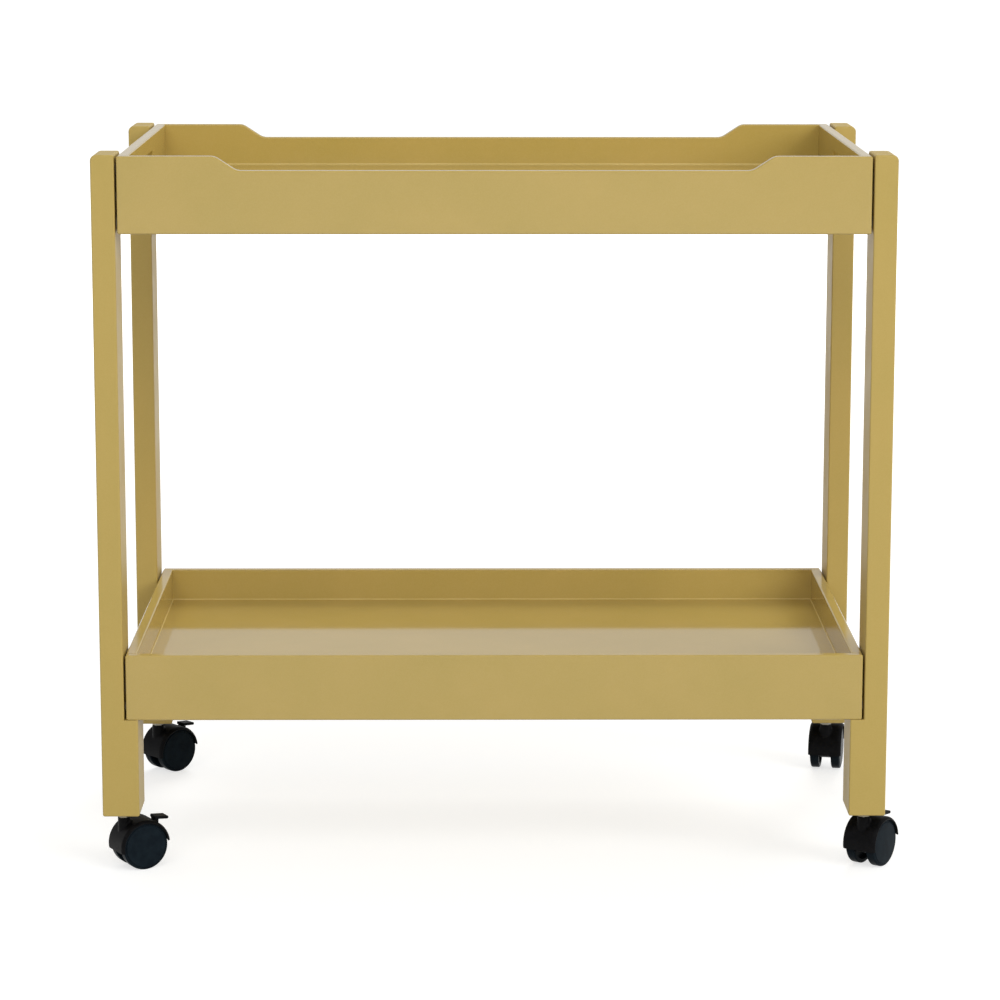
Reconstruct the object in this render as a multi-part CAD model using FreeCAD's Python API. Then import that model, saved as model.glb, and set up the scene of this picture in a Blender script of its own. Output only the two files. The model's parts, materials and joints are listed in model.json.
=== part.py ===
import FreeCAD, Part
import os
from math import acos, asin, cos, degrees, hypot, pi, radians, sin, tan

V = FreeCAD.Vector

# Bar cart: four stepped legs on casters carry two wooden trays.
# Millimetres. +X is the cart's right, +Y its rear, +Z up, and the origin is on the floor under its centre.

# Overall size, casters included
CART_WIDTH = 812.8
CART_DEPTH = 457.2
CART_HEIGHT = 749.3

# Legs: a thin shank over a wider foot, whose shoulder carries the lower tray
LEG_DEPTH = 58.5
SHANK_WIDTH = 24.0
FOOT_WIDTH = 38.1
FOOT_HEIGHT = 102.8
CROWN_RADIUS = 6.0
CROWN_INNER_RADIUS = 2.0
LEG_EDGE_RADIUS = 1.5

# Tray boards, and the floor panels, whose rebated edges leave a tongue in the boards' grooves
BOARD = 11.0
BOARD_EDGE_RADIUS = 1.5
BOARD_CORNER_RADIUS = 2.0
UPPER_TRAY_HEIGHT = 78.5
UPPER_TRAY_DROP = 1.3
LOWER_TRAY_HEIGHT = 68.5
FLOOR_THICKNESS = 8.0
FLOOR_RISE = 25.5
FLOOR_EDGE_GAP = 0.2
TONGUE_THICKNESS = 5.0
GROOVE_DEPTH = 5.0
GROOVE_CLEARANCE = 0.2

# Dip in the upper rails: its width is measured half way down its slopes
DIP_WIDTH = 541.0
DIP_DEPTH = 14.5
DIP_SLOPE = 33.0
DIP_RADIUS = 15.0

# Hand-hold slot through each side of the upper tray
SLOT_LENGTH = 120.0
SLOT_HEIGHT = 20.0
SLOT_TOP_MARGIN = 17.0

# Dowels in the tray corners
DOWEL_RADIUS = 3.0
DOWEL_LENGTH = 32.0
DOWEL_IN_RAIL = 8.0
LOW_DOWEL_RISE = 20.0
HIGH_DOWEL_DROP = 16.0
DOWEL_END_CLEARANCE = 0.5

# Bolts under the tray floors, and the flanged threaded inserts that hold each tray off its legs
BOLT_RADIUS = 3.0
BOLT_CLEARANCE = 0.25
BOLT_HEAD_RADIUS = 6.0
BOLT_HEAD_THICKNESS = 2.5
BOLT_SOCKET_FLATS = 4.0
BOLT_SOCKET_DEPTH = 1.6
BOLT_GRIP = 12.0
BOLT_RISE = 11.0
BOLT_RAIL_MARGIN = 9.0
BOLT_SPACING = 20.0
INSERT_RADIUS = 5.0
INSERT_LENGTH = 15.0
FLANGE_RADIUS = 7.0
FLANGE_THICKNESS = 2.2
FIT_CLEARANCE = 0.05
BORE_END_CLEARANCE = 0.5

# Caster wheels
WHEEL_DIAMETER = 50.0
WHEEL_WIDTH = 11.0
WHEEL_GAP = 14.0
RIM_THICKNESS = 4.0
TREAD_CHAMFER = 1.0
SHOULDER_RADIUS = 2.0
SHOULDER_LAND = 0.2
DISC_THICKNESS = 5.0
DISC_RAISE = 1.0
DISC_DOME = 0.6
DISC_FLAT_RADIUS = 4.0
DISC_EDGE_RADIUS = 0.8
RIM_GROOVE_WIDTH = 0.5
RIM_GROOVE_DEPTH = 0.8
HUB_RADIUS = 6.5
AXLE_RADIUS = 3.0
AXLE_COVER = 2.7
RUNNING_CLEARANCE = 0.06

# Caster housings: a hood that wraps the wheels, a web between the wheels and a boss round the stem
TRAIL = 17.0
HOOD_CLEARANCE = 1.0
HOOD_WALL = 2.0
HOOD_WRAP = 50.0
HOOD_REAR_RISE = 4.0
HOOD_FRONT_DROP = 5.0
WEB_CLEARANCE = 1.0
WEB_DROP = 10.0
WEB_CHIN_FRONT = 14.0
WEB_CHIN_REAR = 12.0
BOSS_RADIUS = 6.5
BOSS_RISE = 2.5
BOSS_MOUTH = 1.0
BOSS_ROOT_RADIUS = 2.5

# Caster stems, with a hexagonal collar against the leg, and the flanged inserts that hold them in the legs
STEM_RADIUS = 4.0
COLLAR_FLATS = 11.0
SWIVEL_GAP = 0.4
STEM_DEPTH = 24.0
STEM_SHOWING = 8.0
STEM_IN_LEG = 20.0
STEM_END_CLEARANCE = 0.1
SOCKET_RADIUS = 6.0
SOCKET_LENGTH = 22.0
SOCKET_FLANGE_RADIUS = 8.0
SOCKET_FLANGE_THICKNESS = 1.5

# Brake levers: the pivot is placed from the axle, and the lever's own sizes from the pivot
PIVOT_OUT = 18.0
PIVOT_UP = 17.0
PIVOT_BOSS_RADIUS = 4.0
PIVOT_POCKET_RADIUS = 7.0
PIVOT_PIN_RADIUS = 1.5
LEVER_ROOT_WIDTH = 8.0
LEVER_SIDE_CLEARANCE = 0.3
PADDLE_WIDTH = 13.0
PADDLE_LENGTH = 15.5
PADDLE_THICKNESS = 3.2
PADDLE_START = -2.5
PADDLE_RISE = 7.8
PADDLE_DROOP = 5.0
PADDLE_NOSE_RADIUS = 1.4
PADDLE_HEEL_RADIUS = 0.7
PADDLE_EDGE_RADIUS = 0.5
LEVER_ARM_THICKNESS = 5.0

# Way each caster trails, in degrees from +X towards +Y
CASTER_HEADINGS = {
    "front_left": 30.0,
    "front_right": 55.0,
    "rear_left": 43.0,
    "rear_right": 78.0,
}

# Levels and places that follow from the sizes above
AXLE_Z = WHEEL_DIAMETER / 2
HOOD_INNER_RADIUS = WHEEL_DIAMETER / 2 + HOOD_CLEARANCE
HOOD_RADIUS = HOOD_INNER_RADIUS + HOOD_WALL
BOSS_TOP = AXLE_Z + HOOD_RADIUS + BOSS_RISE
LEG_BOTTOM = BOSS_TOP + STEM_SHOWING
SHOULDER_Z = LEG_BOTTOM + FOOT_HEIGHT
UPPER_TRAY_Z = CART_HEIGHT - UPPER_TRAY_DROP - UPPER_TRAY_HEIGHT
LOWER_TRAY_Z = SHOULDER_Z
TRAY_HALF_WIDTH = CART_WIDTH / 2 - SHANK_WIDTH - FLANGE_THICKNESS
INNER_HALF_WIDTH = TRAY_HALF_WIDTH - BOARD
INNER_HALF_DEPTH = CART_DEPTH / 2 - BOARD
LEG_CENTRE_Y = CART_DEPTH / 2 - LEG_DEPTH / 2
FOOT_CENTRE_X = CART_WIDTH / 2 - FOOT_WIDTH / 2
WHEEL_INNER_FACE = WHEEL_GAP / 2
WHEEL_OUTER_FACE = WHEEL_INNER_FACE + WHEEL_WIDTH
RIM_FACE = WHEEL_OUTER_FACE - DISC_RAISE
SHOULDER_Y = RIM_FACE - SHOULDER_RADIUS
SHOULDER_CENTRE_RADIUS = WHEEL_DIAMETER / 2 - SHOULDER_RADIUS
AXLE_HALF_LENGTH = WHEEL_OUTER_FACE - AXLE_COVER
WEB_HALF_WIDTH = WHEEL_INNER_FACE - WEB_CLEARANCE
STEM_BOTTOM = BOSS_TOP - STEM_DEPTH
PIVOT_X = TRAIL + PIVOT_OUT
PIVOT_Z = AXLE_Z + PIVOT_UP

# Side of the cart and end of the cart for each corner, as signs along X and Y
CORNERS = {
    "front_left": (-1, -1),
    "front_right": (1, -1),
    "rear_left": (-1, 1),
    "rear_right": (1, 1),
}

# The two trays: level of the bottom edge, height, and whether it has dips and hand-holds
TRAYS = {
    "upper": (UPPER_TRAY_Z, UPPER_TRAY_HEIGHT, True),
    "lower": (LOWER_TRAY_Z, LOWER_TRAY_HEIGHT, False),
}


def rounded_face(corners):
    """Flat face in the XZ plane through (x, z, radius) corners, each rounded by a tangent arc."""
    starts = []
    ends = []
    arcs = []
    for i, (x, z, radius) in enumerate(corners):
        here = V(x, 0, z)
        last = corners[i - 1]
        following = corners[(i + 1) % len(corners)]
        back = (V(last[0], 0, last[1]) - here).normalize()
        ahead = (V(following[0], 0, following[1]) - here).normalize()
        half = acos(max(-1.0, min(1.0, back.dot(ahead)))) / 2
        reach = radius / tan(half)
        starts.append(here + back * reach)
        ends.append(here + ahead * reach)
        middle = here + (back + ahead).normalize() * (radius / sin(half) - radius)
        arcs.append(Part.Arc(starts[i], middle, ends[i]).toShape() if radius else None)
    edges = []
    for i in range(len(corners)):
        if arcs[i]:
            edges.append(arcs[i])
        edges.append(Part.LineSegment(ends[i], starts[(i + 1) % len(corners)]).toShape())
    return Part.Face(Part.Wire(edges))


def extruded(face, length):
    return face.extrude(V(0, length, 0))


def outline_edges(solid):
    """Edges that lie in the flat front and rear faces of a board extruded along Y."""
    return [edge for edge in solid.Edges if edge.BoundBox.YLength < 1e-6]


def box(low, high):
    size = high - low
    return Part.makeBox(size.x, size.y, size.z, low)


def rod(radius, start, end):
    axis = end - start
    return Part.makeCylinder(radius, axis.Length, start, axis)


def hex_bar(flats, start, end):
    axis = end - start
    across = V(0, 1, 0)
    beside = axis.cross(across).normalize()
    reach = flats / 2 / cos(pi / 6)
    points = []
    for i in range(7):
        turn = i * pi / 3
        points.append(start + across * reach * cos(turn) + beside * reach * sin(turn))
    return Part.Face(Part.makePolygon(points)).extrude(axis)


def single(shape):
    """The one clean solid that a boolean operation left."""
    solids = shape.removeSplitter().Solids
    if len(solids) != 1:
        raise ValueError(f"expected one solid, got {len(solids)}")
    return solids[0]


def export(node, *solids):
    shape = solids[0] if len(solids) == 1 else Part.makeCompound(solids)
    if not shape.isValid():
        raise ValueError(f"{node} is not a valid solid")
    shape.exportStep(f"parts/{node}.step")


def bolt_heights():
    return [level + BOLT_RISE for level, height, dressed in TRAYS.values()]


def bolt_places(end):
    """Y positions of the two bolts in a leg at the front (end -1) or rear (end 1)."""
    nearer_rail = INNER_HALF_DEPTH - BOLT_RAIL_MARGIN
    return [end * nearer_rail, end * (nearer_rail - BOLT_SPACING)]


def dowel_heights(level, height):
    return [level + LOW_DOWEL_RISE, level + height - HIGH_DOWEL_DROP]


# Legs


def leg(side, end):
    """One leg of the cart, made at the left and mirrored to the right."""
    outer = -CART_WIDTH / 2
    front = end * LEG_CENTRE_Y - LEG_DEPTH / 2
    shank = extruded(rounded_face([
        (outer, SHOULDER_Z, 0),
        (outer + SHANK_WIDTH, SHOULDER_Z, 0),
        (outer + SHANK_WIDTH, CART_HEIGHT, CROWN_INNER_RADIUS),
        (outer, CART_HEIGHT, CROWN_RADIUS),
    ]), LEG_DEPTH)
    shank_rims = [edge for edge in outline_edges(shank) if edge.BoundBox.ZMax > SHOULDER_Z + 1e-6]
    shank = shank.makeFillet(LEG_EDGE_RADIUS, shank_rims)
    foot = extruded(rounded_face([
        (outer, LEG_BOTTOM, CROWN_INNER_RADIUS),
        (outer + FOOT_WIDTH, LEG_BOTTOM, CROWN_INNER_RADIUS),
        (outer + FOOT_WIDTH, SHOULDER_Z, 0),
        (outer, SHOULDER_Z, 0),
    ]), LEG_DEPTH)
    foot_rims = [edge for edge in outline_edges(foot) if edge.BoundBox.ZMin < SHOULDER_Z - 1e-6]
    foot = foot.makeFillet(LEG_EDGE_RADIUS, foot_rims)
    solid = shank.fuse(foot)
    solid.translate(V(0, front, 0))
    inner = outer + SHANK_WIDTH
    bores = []
    for y in bolt_places(end):
        for z in bolt_heights():
            depth = INSERT_LENGTH + BORE_END_CLEARANCE
            bores.append(rod(INSERT_RADIUS + FIT_CLEARANCE, V(inner - depth, y, z), V(inner, y, z)))
    x = -FOOT_CENTRE_X
    y = end * LEG_CENTRE_Y
    socket_end = LEG_BOTTOM + SOCKET_LENGTH + BORE_END_CLEARANCE
    bores.append(rod(SOCKET_RADIUS + FIT_CLEARANCE, V(x, y, LEG_BOTTOM), V(x, y, socket_end)))
    recess_top = LEG_BOTTOM + SOCKET_FLANGE_THICKNESS
    bores.append(rod(SOCKET_FLANGE_RADIUS + FIT_CLEARANCE, V(x, y, LEG_BOTTOM), V(x, y, recess_top)))
    solid = single(solid.cut(bores))
    return solid.mirror(V(0, 0, 0), V(1, 0, 0)) if side > 0 else solid


def caster_socket(side, end):
    """Flanged threaded insert in the bottom of a leg."""
    x = side * FOOT_CENTRE_X
    y = end * LEG_CENTRE_Y
    body = rod(SOCKET_RADIUS, V(x, y, LEG_BOTTOM), V(x, y, LEG_BOTTOM + SOCKET_LENGTH))
    flange_top = V(x, y, LEG_BOTTOM + SOCKET_FLANGE_THICKNESS)
    flange = rod(SOCKET_FLANGE_RADIUS, V(x, y, LEG_BOTTOM), flange_top)
    thread = rod(STEM_RADIUS + FIT_CLEARANCE, V(x, y, LEG_BOTTOM), V(x, y, LEG_BOTTOM + SOCKET_LENGTH))
    return single(body.fuse(flange).cut(thread))


# Trays


def floor_slab(level, overhang, thickness):
    """Slab at the level of a tray's floor that reaches past the boards' inner faces by the overhang."""
    half = V(INNER_HALF_WIDTH + overhang, INNER_HALF_DEPTH + overhang, 0)
    bottom = V(0, 0, level + FLOOR_RISE)
    return box(bottom - half, bottom + half + V(0, 0, thickness))


def floor_groove(level):
    """Space that the tongue of a tray floor takes up in the boards round it."""
    return floor_slab(level, GROOVE_DEPTH, TONGUE_THICKNESS + GROOVE_CLEARANCE)


def tray_floor(level):
    field = floor_slab(level, -FLOOR_EDGE_GAP, FLOOR_THICKNESS)
    tongue = floor_slab(level, GROOVE_DEPTH - GROOVE_CLEARANCE, TONGUE_THICKNESS)
    return single(field.fuse(tongue))


def dowel_rods(level, height, radius, end_clearance):
    """Rods along Y through the four corner joints of a tray."""
    rods = []
    x = TRAY_HALF_WIDTH - BOARD / 2
    in_rail = DOWEL_IN_RAIL + end_clearance
    in_side = DOWEL_LENGTH - DOWEL_IN_RAIL + end_clearance
    for side, end in CORNERS.values():
        for z in dowel_heights(level, height):
            outer = V(side * x, end * (INNER_HALF_DEPTH + in_rail), z)
            inner = V(side * x, end * (INNER_HALF_DEPTH - in_side), z)
            rods.append(rod(radius, outer, inner))
    return rods


def dowels(level, height):
    return dowel_rods(level, height, DOWEL_RADIUS, 0)


def dowel_holes(level, height):
    return dowel_rods(level, height, DOWEL_RADIUS + FIT_CLEARANCE, DOWEL_END_CLEARANCE)


def rail(end, level, height, dipped):
    """Front or rear board of a tray, as long as the tray is wide, with or without a dip in its top."""
    top = level + height
    corners = [
        (-TRAY_HALF_WIDTH, level, BOARD_CORNER_RADIUS),
        (TRAY_HALF_WIDTH, level, BOARD_CORNER_RADIUS),
        (TRAY_HALF_WIDTH, top, BOARD_CORNER_RADIUS),
    ]
    if dipped:
        half_slope = DIP_DEPTH / 2 / tan(radians(DIP_SLOPE))
        rim = DIP_WIDTH / 2 + half_slope
        bed = DIP_WIDTH / 2 - half_slope
        corners += [
            (rim, top, DIP_RADIUS),
            (bed, top - DIP_DEPTH, DIP_RADIUS),
            (-bed, top - DIP_DEPTH, DIP_RADIUS),
            (-rim, top, DIP_RADIUS),
        ]
    corners.append((-TRAY_HALF_WIDTH, top, BOARD_CORNER_RADIUS))
    board = extruded(rounded_face(corners), BOARD)
    board = board.makeFillet(BOARD_EDGE_RADIUS, outline_edges(board))
    board.translate(V(0, end * (CART_DEPTH / 2 - BOARD / 2) - BOARD / 2, 0))
    return single(board.cut([floor_groove(level)] + dowel_holes(level, height)))


def hand_hold(level, height):
    """Long slot with round ends, through both sides of the upper tray along X."""
    top = level + height - SLOT_TOP_MARGIN
    radius = SLOT_HEIGHT / 2
    reach = SLOT_LENGTH / 2 - radius
    middle = box(V(-TRAY_HALF_WIDTH, -reach, top - SLOT_HEIGHT), V(TRAY_HALF_WIDTH, reach, top))
    ends = []
    for y in (-reach, reach):
        ends.append(rod(radius, V(-TRAY_HALF_WIDTH, y, top - radius), V(TRAY_HALF_WIDTH, y, top - radius)))
    return middle.fuse(ends).removeSplitter()


def tray_side(side, level, height, slotted):
    """End board of a tray, between its rails, with or without a hand-hold."""
    inner = V(INNER_HALF_WIDTH, -INNER_HALF_DEPTH, level)
    board = box(inner, V(TRAY_HALF_WIDTH, INNER_HALF_DEPTH, level + height))
    long_edges = [edge for edge in board.Edges if edge.BoundBox.YLength > 2 * INNER_HALF_DEPTH - 1e-6]
    board = board.makeFillet(BOARD_EDGE_RADIUS, long_edges)
    if slotted:
        board = board.cut(hand_hold(level, height))
        mouth = []
        for edge in board.Edges:
            bounds = edge.BoundBox
            in_slot = max(abs(bounds.YMin), abs(bounds.YMax)) < SLOT_LENGTH / 2 + 1e-6
            if in_slot and bounds.XLength < 1e-6:
                mouth.append(edge)
        board = board.makeFillet(BOARD_EDGE_RADIUS, mouth)
    if side < 0:
        board = board.mirror(V(0, 0, 0), V(1, 0, 0))
    holes = [floor_groove(level)] + dowel_holes(level, height)
    for end in (-1, 1):
        for y in bolt_places(end):
            reach = V(side * TRAY_HALF_WIDTH, y, level + BOLT_RISE)
            start = V(side * INNER_HALF_WIDTH, y, level + BOLT_RISE)
            holes.append(rod(BOLT_RADIUS + BOLT_CLEARANCE, start, reach))
    return single(board.cut(holes))


def leg_bolts(level):
    """Flat-headed bolts that run from inside a tray, under its floor, into the legs."""
    bolts = []
    for side, end in CORNERS.values():
        out = V(side, 0, 0)
        for y in bolt_places(end):
            seat = V(side * INNER_HALF_WIDTH, y, level + BOLT_RISE)
            head_top = seat - out * BOLT_HEAD_THICKNESS
            tip = seat + out * (BOARD + FLANGE_THICKNESS + BOLT_GRIP)
            bolt = rod(BOLT_HEAD_RADIUS, head_top, seat).fuse(rod(BOLT_RADIUS, seat, tip))
            socket = hex_bar(BOLT_SOCKET_FLATS, head_top, head_top + out * BOLT_SOCKET_DEPTH)
            bolts.append(single(bolt.cut(socket)))
    return bolts


def leg_inserts(level):
    """Threaded inserts in the legs, whose flanges stand between the legs and a tray."""
    inserts = []
    for side, end in CORNERS.values():
        out = V(side, 0, 0)
        for y in bolt_places(end):
            face = V(side * TRAY_HALF_WIDTH, y, level + BOLT_RISE)
            seat = face + out * FLANGE_THICKNESS
            tip = seat + out * INSERT_LENGTH
            insert = rod(FLANGE_RADIUS, face, seat).fuse(rod(INSERT_RADIUS, seat, tip))
            inserts.append(single(insert.cut(rod(BOLT_RADIUS + FIT_CLEARANCE, face, tip))))
    return inserts


# Casters, made with the stem on the Z axis, trailing towards +X, and the axle along Y


def around_axle(angle, radius):
    return V(TRAIL + radius * cos(radians(angle)), 0, AXLE_Z + radius * sin(radians(angle)))


def hood_angles():
    """Angles about the axle where the hood ends, behind and in front of the wheels."""
    rear = degrees(asin(HOOD_REAR_RISE / HOOD_RADIUS))
    front = 180 + degrees(asin(HOOD_FRONT_DROP / HOOD_RADIUS))
    return rear, front


def hood():
    """Shell over both wheels, revolved about the axle, whose round-edged rims wrap their shoulders."""
    rear, front = hood_angles()
    inner = SHOULDER_RADIUS + HOOD_CLEARANCE
    outer = inner + HOOD_WALL
    wrap = radians(HOOD_WRAP)
    lip = HOOD_WALL / 2

    def rim_point(side, reach, turn, beyond=0.0):
        """Point round a wheel's shoulder, turned from straight out, then moved on by a step."""
        along = reach * sin(turn) + beyond * cos(turn)
        up = reach * cos(turn) - beyond * sin(turn)
        return V(TRAIL + SHOULDER_CENTRE_RADIUS + up, side * (SHOULDER_Y + along), AXLE_Z)

    edges = []
    for side in (-1, 1):
        outer_arc = [rim_point(side, outer, turn) for turn in (0, wrap / 2, wrap)]
        inner_arc = [rim_point(side, inner, turn) for turn in (wrap, wrap / 2, 0)]
        edge_round = rim_point(side, inner + lip, wrap, lip)
        edges.append(Part.Arc(*outer_arc).toShape())
        edges.append(Part.Arc(outer_arc[-1], edge_round, inner_arc[0]).toShape())
        edges.append(Part.Arc(*inner_arc).toShape())
    for reach in (outer, inner):
        edges.append(Part.LineSegment(rim_point(-1, reach, 0), rim_point(1, reach, 0)).toShape())
    section = Part.Face(Part.Wire(Part.sortEdges(edges)[0]))
    axle = V(TRAIL, 0, AXLE_Z)
    section.rotate(axle, V(0, -1, 0), rear)
    return section.revolve(axle, V(0, -1, 0), front - rear)


def web():
    """Plate between the wheels, from under the hood down to a chin below the axle."""
    rear, front = hood_angles()
    radius = HOOD_INNER_RADIUS + HOOD_WALL / 2
    arc = [around_axle(angle, radius) for angle in (rear, (rear + front) / 2, front)]
    chin_front = V(TRAIL - WEB_CHIN_FRONT, 0, AXLE_Z - WEB_DROP)
    chin_rear = V(TRAIL + WEB_CHIN_REAR, 0, AXLE_Z - WEB_DROP)
    section = Part.Face(Part.Wire([
        Part.Arc(*arc).toShape(),
        Part.LineSegment(arc[-1], chin_front).toShape(),
        Part.LineSegment(chin_front, chin_rear).toShape(),
        Part.LineSegment(chin_rear, arc[0]).toShape(),
    ]))
    section.translate(V(0, -WEB_HALF_WIDTH, 0))
    return extruded(section, 2 * WEB_HALF_WIDTH)


def stem_boss():
    """Round boss on top of the hood, with a countersunk mouth for the stem."""
    top = V(0, 0, BOSS_TOP)
    boss = rod(BOSS_RADIUS, V(0, 0, AXLE_Z), top)
    under_hood = HOOD_INNER_RADIUS + HOOD_WALL / 2
    span = V(0, 2 * BOSS_RADIUS, 0)
    axle = V(TRAIL, 0, AXLE_Z)
    mouth_depth = V(0, 0, -BOSS_MOUTH)
    mouth = Part.makeCone(STEM_RADIUS + BOSS_MOUTH, STEM_RADIUS, BOSS_MOUTH, top, mouth_depth)
    return boss.cut([rod(under_hood, axle - span, axle + span), mouth])


def boss_root(body):
    """Edges where the boss runs into the hood."""
    roots = []
    for edge in body.Edges:
        points = edge.discretize(8)
        on_boss = all(abs(point.cross(V(0, 0, 1)).Length - BOSS_RADIUS) < 1e-3 for point in points)
        if on_boss and edge.BoundBox.ZMax < BOSS_TOP - 1e-3:
            roots.append(edge)
    return roots


def caster_housing():
    axle = V(TRAIL, 0, AXLE_Z)
    pivot = V(PIVOT_X, 0, PIVOT_Z)
    across = V(0, WEB_HALF_WIDTH, 0)
    pocket = V(0, LEVER_ROOT_WIDTH / 2 + LEVER_SIDE_CLEARANCE, 0)
    stem_bore_end = V(0, 0, STEM_BOTTOM - STEM_END_CLEARANCE)
    cuts = [
        rod(AXLE_RADIUS + FIT_CLEARANCE, axle - across, axle + across),
        rod(PIVOT_POCKET_RADIUS, pivot - pocket, pivot + pocket),
        rod(PIVOT_PIN_RADIUS + FIT_CLEARANCE, pivot - across, pivot + across),
        rod(STEM_RADIUS + RUNNING_CLEARANCE, stem_bore_end, V(0, 0, BOSS_TOP)),
    ]
    body = single(hood().fuse([web(), stem_boss()]))
    body = body.makeFillet(BOSS_ROOT_RADIUS, boss_root(body))
    return single(body.cut(cuts))


def caster_stem():
    stem = rod(STEM_RADIUS, V(0, 0, STEM_BOTTOM), V(0, 0, LEG_BOTTOM + STEM_IN_LEG))
    collar = hex_bar(COLLAR_FLATS, V(0, 0, BOSS_TOP + SWIVEL_GAP), V(0, 0, LEG_BOTTOM))
    return single(stem.fuse(collar))


def caster_axle():
    half = V(0, AXLE_HALF_LENGTH, 0)
    centre = V(TRAIL, 0, AXLE_Z)
    return rod(AXLE_RADIUS, centre - half, centre + half)


def brake_pin():
    half = V(0, WEB_HALF_WIDTH, 0)
    centre = V(PIVOT_X, 0, PIVOT_Z)
    return rod(PIVOT_PIN_RADIUS, centre - half, centre + half)


def caster_wheel(side):
    """Moulded wheel with a blind bore: rim, hub and an outer disc that is domed round a flat middle."""
    radius = WHEEL_DIAMETER / 2
    bore = AXLE_RADIUS + RUNNING_CLEARANCE
    rim = radius - RIM_THICKNESS
    groove = SHOULDER_CENTRE_RADIUS - SHOULDER_LAND
    disc = groove - RIM_GROOVE_WIDTH
    inner = WHEEL_INNER_FACE
    crown = WHEEL_OUTER_FACE
    recess = RIM_FACE - DISC_THICKNESS
    groove_bed = RIM_FACE - RIM_GROOVE_DEPTH
    dome_edge = crown - DISC_DOME
    dome_reach = disc - DISC_EDGE_RADIUS
    bore_end = AXLE_HALF_LENGTH + RUNNING_CLEARANCE

    def lines(*points):
        corners = [V(r, y, 0) for r, y in points]
        return [Part.LineSegment(a, b).toShape() for a, b in zip(corners, corners[1:])]

    def quarter_round(r, y, size):
        """Convex arc from the end of a wall at (r, y) to a face nearer the axle and further out."""
        bend = size * (1 - cos(pi / 4))
        points = [V(r, y, 0), V(r - bend, y + size - bend, 0), V(r - size, y + size, 0)]
        return Part.Arc(*points).toShape()

    edges = lines(
        (0, crown), (0, bore_end), (bore, bore_end), (bore, inner), (HUB_RADIUS, inner),
        (HUB_RADIUS, recess), (rim, recess), (rim, inner), (radius - TREAD_CHAMFER, inner),
        (radius, inner + TREAD_CHAMFER), (radius, SHOULDER_Y))
    edges.append(quarter_round(radius, SHOULDER_Y, SHOULDER_RADIUS))
    edges += lines((SHOULDER_CENTRE_RADIUS, RIM_FACE), (groove, RIM_FACE), (groove, groove_bed),
                   (disc, groove_bed), (disc, dome_edge - DISC_EDGE_RADIUS))
    edges.append(quarter_round(disc, dome_edge - DISC_EDGE_RADIUS, DISC_EDGE_RADIUS))
    dome_rise = (dome_reach**2 - DISC_FLAT_RADIUS**2 + DISC_DOME**2) / (2 * DISC_DOME)
    dome_radius = hypot(DISC_FLAT_RADIUS, dome_rise)
    dome = Part.Circle(V(0, crown - dome_rise, 0), V(0, 0, 1), dome_radius)
    dome_start, dome_end = [acos(r / dome_radius) for r in (dome_reach, DISC_FLAT_RADIUS)]
    edges.append(Part.ArcOfCircle(dome, dome_start, dome_end).toShape())
    edges += lines((DISC_FLAT_RADIUS, crown), (0, crown))
    wheel = Part.Face(Part.Wire(edges)).revolve(V(0, 0, 0), V(0, 1, 0), 360)
    if side < 0:
        wheel.rotate(V(0, 0, 0), V(0, 0, 1), 180)
    wheel.translate(V(TRAIL, 0, AXLE_Z))
    return wheel


def brake_lever():
    """Foot lever: a root on the pivot pin and a wider paddle that lies over the hood's tail."""
    pivot = V(0, 0, 0)
    droop = radians(PADDLE_DROOP)
    along = V(cos(droop), 0, -sin(droop))
    up = V(sin(droop), 0, cos(droop))
    heel = V(PADDLE_START, 0, PADDLE_RISE)
    toe = heel + along * PADDLE_LENGTH
    heel_top = heel + up * PADDLE_THICKNESS
    toe_top = toe + up * PADDLE_THICKNESS
    paddle = extruded(rounded_face([
        (heel.x, heel.z, PADDLE_HEEL_RADIUS),
        (toe.x, toe.z, PADDLE_NOSE_RADIUS),
        (toe_top.x, toe_top.z, PADDLE_NOSE_RADIUS),
        (heel_top.x, heel_top.z, PADDLE_HEEL_RADIUS),
    ]), PADDLE_WIDTH)
    paddle.translate(V(0, -PADDLE_WIDTH / 2, 0))
    paddle = paddle.makeFillet(PADDLE_EDGE_RADIUS, outline_edges(paddle))
    half = V(0, LEVER_ROOT_WIDTH / 2, 0)
    knee = heel + along * (LEVER_ARM_THICKNESS / 2) + up * (PADDLE_THICKNESS / 2)
    side = V(-knee.z, 0, knee.x).normalize() * (LEVER_ARM_THICKNESS / 2)
    corners = [pivot - side, knee - side, knee + side, pivot + side, pivot - side]
    arm = Part.Face(Part.makePolygon(corners))
    arm.translate(pivot - half)
    boss = rod(PIVOT_BOSS_RADIUS, pivot - half, pivot + half)
    hole = rod(PIVOT_PIN_RADIUS + RUNNING_CLEARANCE, pivot - half, pivot + half)
    lever = single(boss.fuse([extruded(arm, LEVER_ROOT_WIDTH), paddle]).cut(hole))
    lever.translate(V(PIVOT_X, 0, PIVOT_Z))
    return lever


def placed(solid, corner):
    """Copy of a caster piece under its leg, turned the way that caster trails."""
    side, end = CORNERS[corner]
    copy = solid.copy()
    copy.rotate(V(0, 0, 0), V(0, 0, 1), CASTER_HEADINGS[corner])
    copy.translate(V(side * FOOT_CENTRE_X, end * LEG_CENTRE_Y, 0))
    return copy


os.makedirs("parts", exist_ok=True)

for corner, (side, end) in CORNERS.items():
    export(f"{corner}_leg", leg(side, end))

for tray, (level, height, dressed) in TRAYS.items():
    export(f"{tray}_front_rail", rail(-1, level, height, dressed))
    export(f"{tray}_rear_rail", rail(1, level, height, dressed))
    export(f"{tray}_left_side", tray_side(-1, level, height, dressed))
    export(f"{tray}_right_side", tray_side(1, level, height, dressed))
    export(f"{tray}_floor", tray_floor(level))
    export(f"{tray}_dowels", *dowels(level, height))
    export(f"{tray}_leg_bolts", *leg_bolts(level))
    export(f"{tray}_leg_inserts", *leg_inserts(level))

export("caster_sockets", *[caster_socket(side, end) for side, end in CORNERS.values()])

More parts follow.
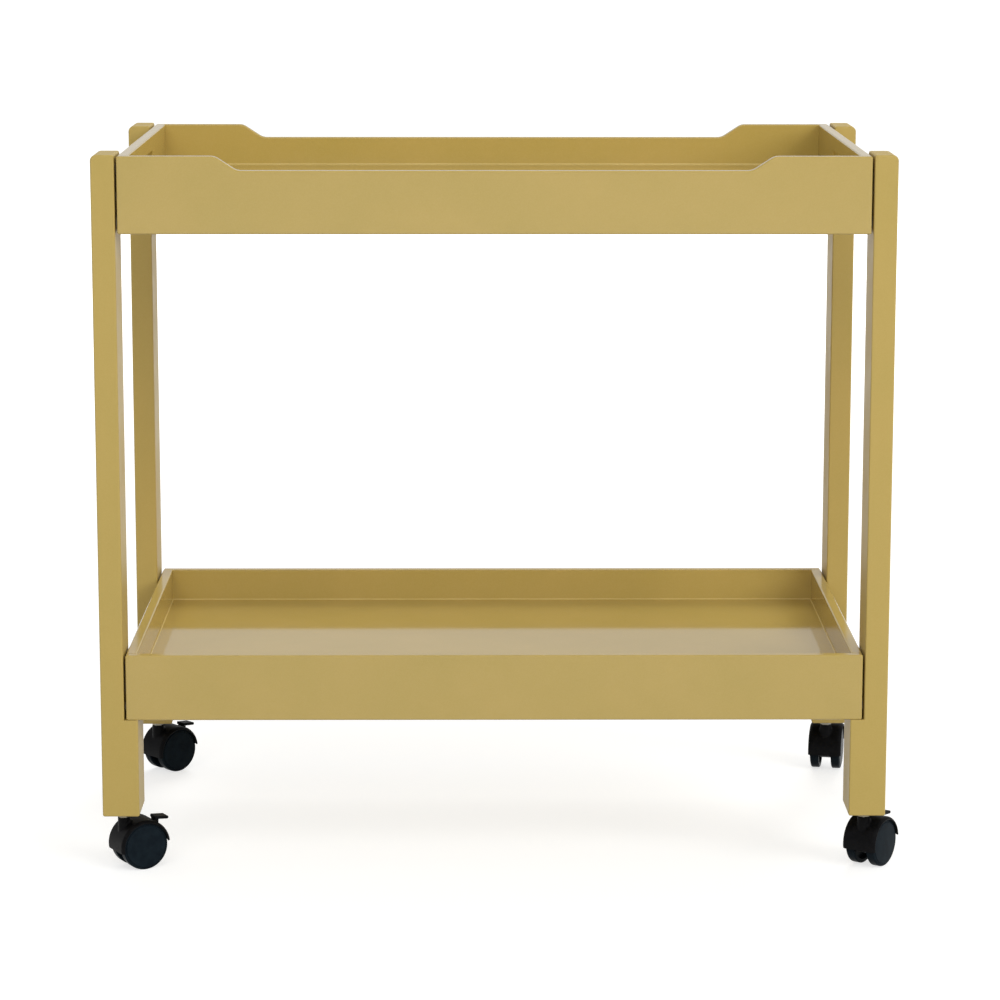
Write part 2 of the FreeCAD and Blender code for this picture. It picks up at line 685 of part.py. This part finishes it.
caster_pieces = {
    "stem": caster_stem(),
    "housing": caster_housing(),
    "axle": caster_axle(),
    "left_wheel": caster_wheel(1),
    "right_wheel": caster_wheel(-1),
    "brake_lever": brake_lever(),
    "brake_pin": brake_pin(),
}
for corner in CORNERS:
    for piece, solid in caster_pieces.items():
        export(f"{corner}_caster_{piece}", placed(solid, corner))
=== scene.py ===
"""Looks of a bar cart: lacquered trays on stepped legs, with black twin-wheel casters."""

import json
import math

import bmesh
import bpy
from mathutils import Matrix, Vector


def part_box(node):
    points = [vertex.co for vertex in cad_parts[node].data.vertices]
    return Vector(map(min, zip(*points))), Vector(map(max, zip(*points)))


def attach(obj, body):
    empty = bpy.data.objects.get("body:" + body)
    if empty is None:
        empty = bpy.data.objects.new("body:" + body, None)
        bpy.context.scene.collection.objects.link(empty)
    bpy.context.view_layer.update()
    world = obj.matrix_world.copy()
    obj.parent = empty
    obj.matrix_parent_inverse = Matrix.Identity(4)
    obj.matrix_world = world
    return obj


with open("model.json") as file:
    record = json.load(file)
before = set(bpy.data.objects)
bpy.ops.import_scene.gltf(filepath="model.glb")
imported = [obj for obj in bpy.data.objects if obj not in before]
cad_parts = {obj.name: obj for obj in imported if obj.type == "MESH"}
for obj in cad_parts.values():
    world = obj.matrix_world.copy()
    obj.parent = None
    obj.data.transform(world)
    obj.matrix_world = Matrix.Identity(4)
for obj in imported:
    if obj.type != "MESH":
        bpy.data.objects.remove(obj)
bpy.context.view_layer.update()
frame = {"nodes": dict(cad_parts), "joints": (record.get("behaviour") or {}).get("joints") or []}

# Units and names shared by all sections
MM = 0.001
CORNERS = ("front_left", "front_right", "rear_left", "rear_right")
TRAYS = ("upper", "lower")
BOARDS = ("front_rail", "rear_rail", "left_side", "right_side")

# Lacquer: shade, ground and flecks of the sprayed coat and of the thicker bead in the corners
COAT_TONES = ("#B29A51", "#B89E57", "#C5AD6A")
# The bead's tones are paler than the coat's: a painted highlight along the trays' inner corners
BEAD_HIGHLIGHT_TONES = ("#BFA762", "#CBB36F", "#D4BF82")

# Bead of lacquer along the inner corners of the trays
BEAD_RADIUS = 1.3 * MM
BEAD_SINK = 0.1 * MM
BEAD_STEPS = 4

# Floor of the stage: half its width and the reach of its glow in metres, the glow near and far
FLOOR_HALF = 40.0
GLOW_START = 1.5
GLOW_END = 6.0
FLOOR_GLOW = 0.66
FAR_GLOW = 0.9

# Surroundings: a wall that fades from white at its foot to grey at its top, both given as the
# upward part of the direction of view, and the dim light that reaches the cart from all round
WALL_FOOT = 0.0
WALL_TOP = 0.1
FOOT_LIGHT = 1.0
WALL_LIGHT = 0.66
AMBIENT_LIGHT = 0.42

# Lamps: name, place and side in metres, power in watts, all turned to one point in the cart
LAMP_TARGET = (0, 0, 0.4)
LAMPS = (
    ("key", (5.6, -5.6, 4.2), 5.0, 392),
    ("fill", (-1.2, -5.6, 4.1), 4.0, 150),
    ("back", (1.0, 6.2, 4.2), 4.0, 320),
)

# Camera at the photograph's viewing angle: metres, degrees, and millimetres of lens and sensor
CAMERA_PLACE = (-0.0218, -3.727, 1.0308)
CAMERA_PITCH = -10.26
CAMERA_ROLL = -0.05
CAMERA_YAW = -0.44
CAMERA_LEVEL = 90  # a camera that isn't turned looks straight down
CAMERA_LENS = 125.26
CAMERA_SENSOR = 36.0

# Sockets of the Mix node when it mixes colours
MIX_FACTOR = 0
MIX_A = 6
MIX_B = 7
MIX_COLOUR = 2

# Radians that the Wave node turns through in a metre at a scale of 1
WAVE_PHASE = 20


def linear(colour):
    """Linear RGBA of an sRGB hex colour."""
    channels = [int(colour[i:i + 2], 16) / 255 for i in (1, 3, 5)]
    curved = [c / 12.92 if c <= 0.04045 else ((c + 0.055) / 1.055) ** 2.4 for c in channels]
    return (*curved, 1.0)


def add_node(tree, kind, inputs=None, **settings):
    """Node with its settings, whose inputs take a value or a link from another node's socket."""
    node = tree.nodes.new(kind)
    for name, value in settings.items():
        setattr(node, name, value)
    for name, value in (inputs or {}).items():
        if isinstance(value, bpy.types.NodeSocket):
            tree.links.new(value, node.inputs[name])
        else:
            node.inputs[name].default_value = value
    return node


def new_material(name):
    """Empty material, its node tree and the shader socket of its output."""
    material = bpy.data.materials.new(name)
    material.use_nodes = True
    tree = material.node_tree
    tree.nodes.clear()
    output = add_node(tree, "ShaderNodeOutputMaterial")
    return material, tree, output.inputs["Surface"]


def place_on_piece(tree):
    """Place of the shaded point in the piece's own frame, in metres."""
    return add_node(tree, "ShaderNodeTexCoord").outputs["Object"]


def noise(tree, place, size, detail, roughness=0.5):
    """Noise about 0.5 whose largest spots have the given real size."""
    node = add_node(tree, "ShaderNodeTexNoise", {
        "Vector": place, "Scale": 1 / size, "Detail": detail, "Roughness": roughness})
    return node.outputs["Fac"]


def ramp(tree, value, band, levels=(0.0, 1.0), interpolation="LINEAR"):
    """Value's band spread over two levels, and held at them outside the band."""
    node = add_node(tree, "ShaderNodeMapRange", {
        "Value": value, "From Min": band[0], "From Max": band[1],
        "To Min": levels[0], "To Max": levels[1]}, interpolation_type=interpolation)
    return node.outputs["Result"]


def mix(tree, mask, first, second):
    """Colour that is the first where the mask is 0 and the second where it is 1."""
    node = add_node(tree, "ShaderNodeMix", {
        MIX_FACTOR: mask, MIX_A: first, MIX_B: second}, data_type="RGBA")
    return node.outputs[MIX_COLOUR]


def relief(tree, height, depth, strength=1.0):
    """Normal of a surface with a relief of the given real depth."""
    node = add_node(tree, "ShaderNodeBump", {
        "Height": height, "Strength": strength, "Distance": depth})
    return node.outputs["Normal"]


def principled(tree, surface, inputs):
    """Principled shader with these inputs on a material's output."""
    shader = add_node(tree, "ShaderNodeBsdfPrincipled", inputs)
    tree.links.new(shader.outputs["BSDF"], surface)


def polyurethane_lacquer(name, tones, roughness):
    """Sprayed two-pack polyurethane on primed board: an even ochre with faint clouds, fine pale
    flecks and a slight orange peel, in the shine that its roughness gives."""
    cloud_size = 110 * MM
    cloud_band = (0.3, 0.7)
    fleck_size = 1.4 * MM
    fleck_band = (0.35, 0.75)
    fleck_cover = 0.16
    peel_size = 25 * MM
    peel_depth = 0.01 * MM
    shine_spread = 0.15
    shine_levels = (roughness * (1 - shine_spread), roughness * (1 + shine_spread))
    shade, ground, fleck = [linear(tone) for tone in tones]
    material, tree, surface = new_material(name)
    place = place_on_piece(tree)
    clouds = noise(tree, place, cloud_size, detail=4.0, roughness=0.6)
    flecks = noise(tree, place, fleck_size, detail=2.0)
    peel = noise(tree, place, peel_size, detail=1.5)
    tone = mix(tree, ramp(tree, clouds, cloud_band), shade, ground)
    fleck_mask = ramp(tree, flecks, fleck_band, (0.0, fleck_cover))
    principled(tree, surface, {
        "Base Color": mix(tree, fleck_mask, tone, fleck), "IOR": 1.5,
        "Roughness": ramp(tree, clouds, cloud_band, shine_levels),
        "Normal": relief(tree, peel, peel_depth)})
    return material


def beech():
    """Turned beech dowel: pale straw wood with short darker rays along its grain."""
    ray_length = 6 * MM
    ray_width = 0.9 * MM
    ray_band = (0.4, 0.7)
    ray_depth = 0.1 * MM
    material, tree, surface = new_material("beech")
    grain = add_node(tree, "ShaderNodeMapping", {
        "Vector": place_on_piece(tree), "Scale": (1 / ray_width, 1 / ray_length, 1 / ray_width)})
    rays = noise(tree, grain.outputs["Vector"], size=1.0, detail=3.0)
    colour = mix(tree, ramp(tree, rays, ray_band), linear("#D8B88A"), linear("#B98F5E"))
    principled(tree, surface, {
        "Base Color": colour, "Roughness": 0.6, "IOR": 1.5,
        "Normal": relief(tree, rays, ray_depth, strength=0.4)})
    return material


def zinc_plate():
    """Passivated zinc on turned steel: a dull grey with yellowish clouds and fine pitting."""
    cloud_size = 5 * MM
    cloud_band = (0.35, 0.65)
    shine_levels = (0.4, 0.52)
    pit_size = 0.7 * MM
    pit_depth = 0.02 * MM
    material, tree, surface = new_material("zinc_plated_steel")
    place = place_on_piece(tree)
    clouds = noise(tree, place, cloud_size, detail=3.0)
    pits = noise(tree, place, pit_size, detail=1.0)
    colour = mix(tree, ramp(tree, clouds, cloud_band), linear("#85847E"), linear("#9C937C"))
    principled(tree, surface, {
        "Base Color": colour, "Metallic": 1.0,
        "Roughness": ramp(tree, clouds, cloud_band, shine_levels),
        "Normal": relief(tree, pits, pit_depth, strength=0.5)})
    return material


def moulded_nylon():
    """Glass-filled nylon from a spark-eroded mould: near black, with a fine matt grain and
    scuffed lighter specks."""
    grain_size = 0.9 * MM  # drawn coarser than the real 0.3 mm so that it shows
    grain_depth = 0.03 * MM
    scuff_size = 7 * MM
    scuff_band = (0.35, 0.75)
    shine_band = (0.3, 0.7)
    shine_levels = (0.36, 0.5)
    material, tree, surface = new_material("moulded_nylon")
    place = place_on_piece(tree)
    scuffs = noise(tree, place, scuff_size, detail=5.0, roughness=0.65)
    grain = noise(tree, place, grain_size, detail=2.0)
    colour = mix(tree, ramp(tree, scuffs, scuff_band), linear("#0B0B0C"), linear("#151517"))
    principled(tree, surface, {
        "Base Color": colour, "IOR": 1.53, "Specular IOR Level": 0.05,
        "Roughness": ramp(tree, scuffs, shine_band, shine_levels),
        "Normal": relief(tree, grain, grain_depth, strength=0.6)})
    return material


def wheel_polypropylene(corner):
    """Polypropylene from a turned mould: blue-black discs with faint rings round the axle."""
    ring_pitch = 1.6 * MM  # drawn coarser than real tool marks so that they show
    ring_depth = 0.01 * MM
    scuff_size = 9 * MM
    scuff_band = (0.35, 0.75)
    low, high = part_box(f"{corner}_caster_axle")
    centre = (low + high) / 2
    roll = f"{corner}_left_wheel_roll"
    heading = next(joint["axis"] for joint in frame["joints"] if joint["name"] == roll)
    turn = math.atan2(heading[1], heading[0])
    material, tree, surface = new_material(f"{corner}_wheel_polypropylene")
    place = place_on_piece(tree)
    axle = add_node(tree, "ShaderNodeMapping", {
        "Vector": place, "Location": centre, "Rotation": (0, 0, turn)}, vector_type="TEXTURE")
    rings = add_node(tree, "ShaderNodeTexWave", {
        "Vector": axle.outputs["Vector"], "Scale": math.tau / WAVE_PHASE / ring_pitch,
        "Distortion": 0.0}, wave_type="RINGS", rings_direction="X")
    scuffs = noise(tree, place, scuff_size, detail=5.0, roughness=0.6)
    colour = mix(tree, ramp(tree, scuffs, scuff_band), linear("#141B21"), linear("#1C252B"))
    principled(tree, surface, {
        "Base Color": colour, "Roughness": 0.3, "IOR": 1.49, "Specular IOR Level": 0.02,
        "Normal": relief(tree, rings.outputs["Fac"], ring_depth, strength=0.5)})
    return material


def dress(node, material):
    """Gives a CAD node its finish in every material slot."""
    mesh = frame["nodes"][node].data
    if not mesh.materials:
        mesh.materials.append(material)
    for i in range(len(mesh.materials)):
        mesh.materials[i] = material


def new_piece(name, mesh, body, material):
    """Adds a piece that rides on a body, with its finish."""
    piece = bpy.data.objects.new(name, mesh)
    bpy.context.scene.collection.objects.link(piece)
    mesh.materials.append(material)
    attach(piece, body)


def floor_bead(tray, material):
    """Adds the thin bead of lacquer that fills the corner between a tray's floor and boards."""
    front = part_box(f"{tray}_front_rail")[1].y
    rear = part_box(f"{tray}_rear_rail")[0].y
    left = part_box(f"{tray}_left_side")[1].x
    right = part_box(f"{tray}_right_side")[0].x
    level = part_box(f"{tray}_floor")[1].z
    section = [(-BEAD_SINK, -BEAD_SINK), (-BEAD_SINK, BEAD_RADIUS)]
    for i in range(1, BEAD_STEPS):
        turn = math.pi / 2 * i / BEAD_STEPS
        section.append((BEAD_RADIUS * (1 - math.cos(turn)), BEAD_RADIUS * (1 - math.sin(turn))))
    section.append((BEAD_RADIUS, -BEAD_SINK))
    corners = (
        (left, front, 1, 1), (right, front, -1, 1), (right, rear, -1, -1), (left, rear, 1, -1))
    mesh = bmesh.new()
    rings = []
    for inset, rise in section:
        rings.append([
            mesh.verts.new((x + inward_x * inset, y + inward_y * inset, level + rise))
            for x, y, inward_x, inward_y in corners])
    for ring, following in zip(rings, rings[1:] + rings[:1]):
        for i in range(len(corners)):
            j = (i + 1) % len(corners)
            mesh.faces.new((ring[i], ring[j], following[j], following[i]))
    bmesh.ops.recalc_face_normals(mesh, faces=mesh.faces)
    data = bpy.data.meshes.new(f"{tray}_floor_bead")
    mesh.to_mesh(data)
    mesh.free()
    new_piece(f"{tray}_floor_bead", data, "cart", material)


def seen_directly(tree):
    """1 for rays from the camera, a reflection or a clear material, and 0 for bounced light."""
    path = add_node(tree, "ShaderNodeLightPath")
    mirrored = add_node(tree, "ShaderNodeMath", {
        0: path.outputs["Is Camera Ray"], 1: path.outputs["Is Glossy Ray"]}, operation="MAXIMUM")
    cleared = add_node(tree, "ShaderNodeMath", {
        0: mirrored.outputs[0], 1: path.outputs["Is Transmission Ray"]}, operation="MAXIMUM")
    return cleared.outputs[0]


def white_floor():
    """Matt white studio floor that stays white to the eye far off and keeps the cart's shadow."""
    material, tree, surface = new_material("studio_floor")
    matt = add_node(tree, "ShaderNodeBsdfDiffuse", {"Color": linear("#BCBCBA")})
    reach = add_node(tree, "ShaderNodeVectorMath", {0: place_on_piece(tree)}, operation="LENGTH")
    level = ramp(
        tree, reach.outputs["Value"], (GLOW_START, GLOW_END), (FLOOR_GLOW, FAR_GLOW), "SMOOTHSTEP")
    strength = add_node(tree, "ShaderNodeMath", {
        0: seen_directly(tree), 1: level}, operation="MULTIPLY")
    glow = add_node(tree, "ShaderNodeEmission", {
        "Color": linear("#FFFFFF"), "Strength": strength.outputs[0]})
    both = add_node(tree, "ShaderNodeAddShader", {
        0: matt.outputs["BSDF"], 1: glow.outputs["Emission"]})
    tree.links.new(both.outputs["Shader"], surface)
    mesh = bpy.data.meshes.new("studio_floor")
    corners = [(-1, -1), (1, -1), (1, 1), (-1, 1)]
    mesh.from_pydata([(x * FLOOR_HALF, y * FLOOR_HALF, 0) for x, y in corners], [], [(0, 1, 2, 3)])
    mesh.materials.append(material)
    floor = bpy.data.objects.new("studio_floor", mesh)
    bpy.context.scene.collection.objects.link(floor)


def studio_surroundings():
    """World that looks white low down, like a lit backdrop, and greyer further up, and that
    lights the cart dimly."""
    world = bpy.data.worlds.new("studio")
    bpy.context.scene.world = world
    world.use_nodes = True
    tree = world.node_tree
    tree.nodes.clear()
    direction = add_node(tree, "ShaderNodeTexCoord").outputs["Generated"]
    height = add_node(tree, "ShaderNodeSeparateXYZ", {"Vector": direction}).outputs["Z"]
    wall = ramp(tree, height, (WALL_FOOT, WALL_TOP), (FOOT_LIGHT, WALL_LIGHT), "SMOOTHSTEP")
    light = ramp(tree, seen_directly(tree), (0.0, 1.0), (AMBIENT_LIGHT, wall))
    background = add_node(tree, "ShaderNodeBackground", {
        "Color": linear("#FFFFFF"), "Strength": light})
    output = add_node(tree, "ShaderNodeOutputWorld")
    tree.links.new(background.outputs["Background"], output.inputs["Surface"])


def softbox(name, place, size, power):
    """Square soft lamp that faces the cart and leaves no mirror image in the gloss."""
    lamp = bpy.data.lights.new(name, "AREA")
    lamp.shape = "SQUARE"
    lamp.size = size
    lamp.energy = power
    fixture = bpy.data.objects.new(name, lamp)
    bpy.context.scene.collection.objects.link(fixture)
    fixture.location = place
    aim = Vector(LAMP_TARGET) - Vector(place)
    fixture.rotation_euler = aim.to_track_quat("-Z", "Y").to_euler()
    fixture.visible_glossy = False


def camera():
    """Camera that sees the cart as the photograph does, without a shifted lens."""
    data = bpy.data.cameras.new("camera")
    data.lens = CAMERA_LENS
    data.sensor_width = CAMERA_SENSOR
    eye = bpy.data.objects.new("camera", data)
    bpy.context.scene.collection.objects.link(eye)
    eye.location = CAMERA_PLACE
    angles = (CAMERA_LEVEL + CAMERA_PITCH, CAMERA_ROLL, CAMERA_YAW)
    eye.rotation_euler = [math.radians(angle) for angle in angles]
    bpy.context.scene.camera = eye


# Finishes of the CAD nodes, and the beads
leg_lacquer = polyurethane_lacquer("satin_lacquer", COAT_TONES, roughness=0.5)
board_lacquer = polyurethane_lacquer("half_gloss_lacquer", COAT_TONES, roughness=0.13)
floor_lacquer = polyurethane_lacquer("gloss_lacquer", COAT_TONES, roughness=0.07)
# The bead lacquer's paler tones are a painted highlight along the inner corners of the trays
bead_lacquer_painted_highlight = polyurethane_lacquer("lacquer_bead_painted_highlight", BEAD_HIGHLIGHT_TONES, roughness=0.2)
dowel_wood = beech()
dull_zinc = zinc_plate()
black_nylon = moulded_nylon()

for corner in CORNERS:
    dress(f"{corner}_leg", leg_lacquer)
    dress(f"{corner}_caster_stem", dull_zinc)
    dress(f"{corner}_caster_axle", dull_zinc)
    dress(f"{corner}_caster_brake_pin", dull_zinc)
    dress(f"{corner}_caster_housing", black_nylon)
    dress(f"{corner}_caster_brake_lever", black_nylon)
    wheel_plastic = wheel_polypropylene(corner)
    dress(f"{corner}_caster_left_wheel", wheel_plastic)
    dress(f"{corner}_caster_right_wheel", wheel_plastic)

for tray in TRAYS:
    for board in BOARDS:
        dress(f"{tray}_{board}", board_lacquer)
    dress(f"{tray}_floor", floor_lacquer)
    dress(f"{tray}_dowels", dowel_wood)
    dress(f"{tray}_leg_bolts", dull_zinc)
    dress(f"{tray}_leg_inserts", dull_zinc)
    floor_bead(tray, bead_lacquer_painted_highlight)

dress("caster_sockets", dull_zinc)

# Stage: white floor, white surroundings, soft lamps and the camera
white_floor()
studio_surroundings()
for lamp in LAMPS:
    softbox(*lamp)
camera()
bpy.context.scene.view_settings.view_transform = "Standard"
